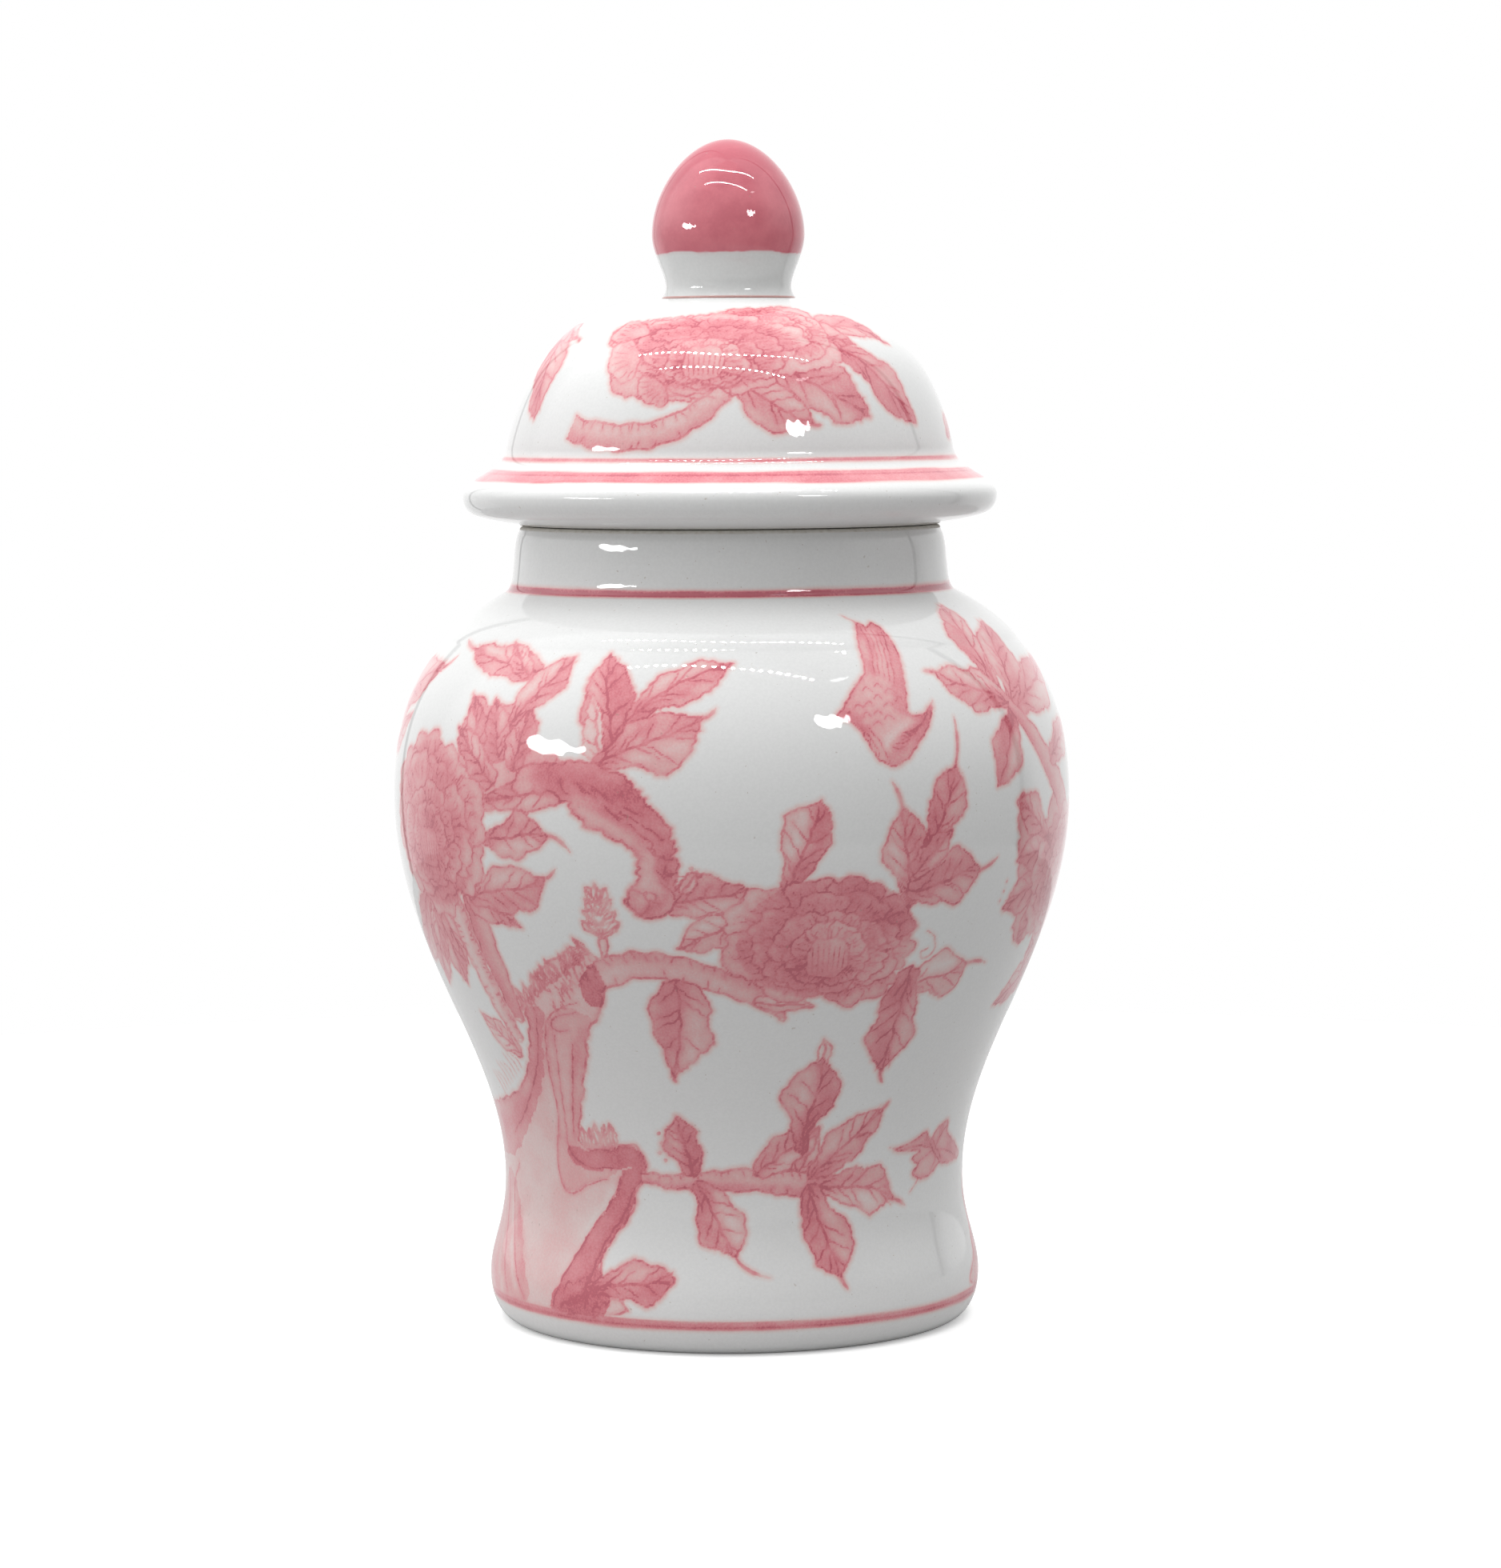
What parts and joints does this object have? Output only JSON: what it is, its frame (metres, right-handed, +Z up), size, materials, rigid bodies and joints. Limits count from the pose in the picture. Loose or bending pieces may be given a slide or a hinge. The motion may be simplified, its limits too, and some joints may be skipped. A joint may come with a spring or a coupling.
{
  "type": "ginger jar",
  "caption": "Lidded porcelain ginger jar: a footed baluster vessel with a domed, flanged lift-off lid and a bud-shaped knob, for storing dry goods or for display.",
  "frame": {"origin": "on the jar's axis, at the plane its foot ring stands on", "axes": "+Z up along the jar's axis of revolution; -Y towards the side with the central peony"},
  "size_m": [0.1754, 0.1754, 0.305],
  "materials": {
    "white_glaze": "glossy cool white glaze with rose brush decoration under it",
    "rose_glaze": "glossy rose-pink glaze, paler where it thins"
  },
  "bodies": {
    "jar": {"jar_body": "white_glaze"},
    "cover": {"lid": "white_glaze", "lid_knob": "rose_glaze"}
  },
  "joints": [
    {"name": "lid_lift", "type": "slide", "parent": "jar", "child": "cover", "axis": [0, 0, 1], "range_m": [0, 0.12]}
  ]
}
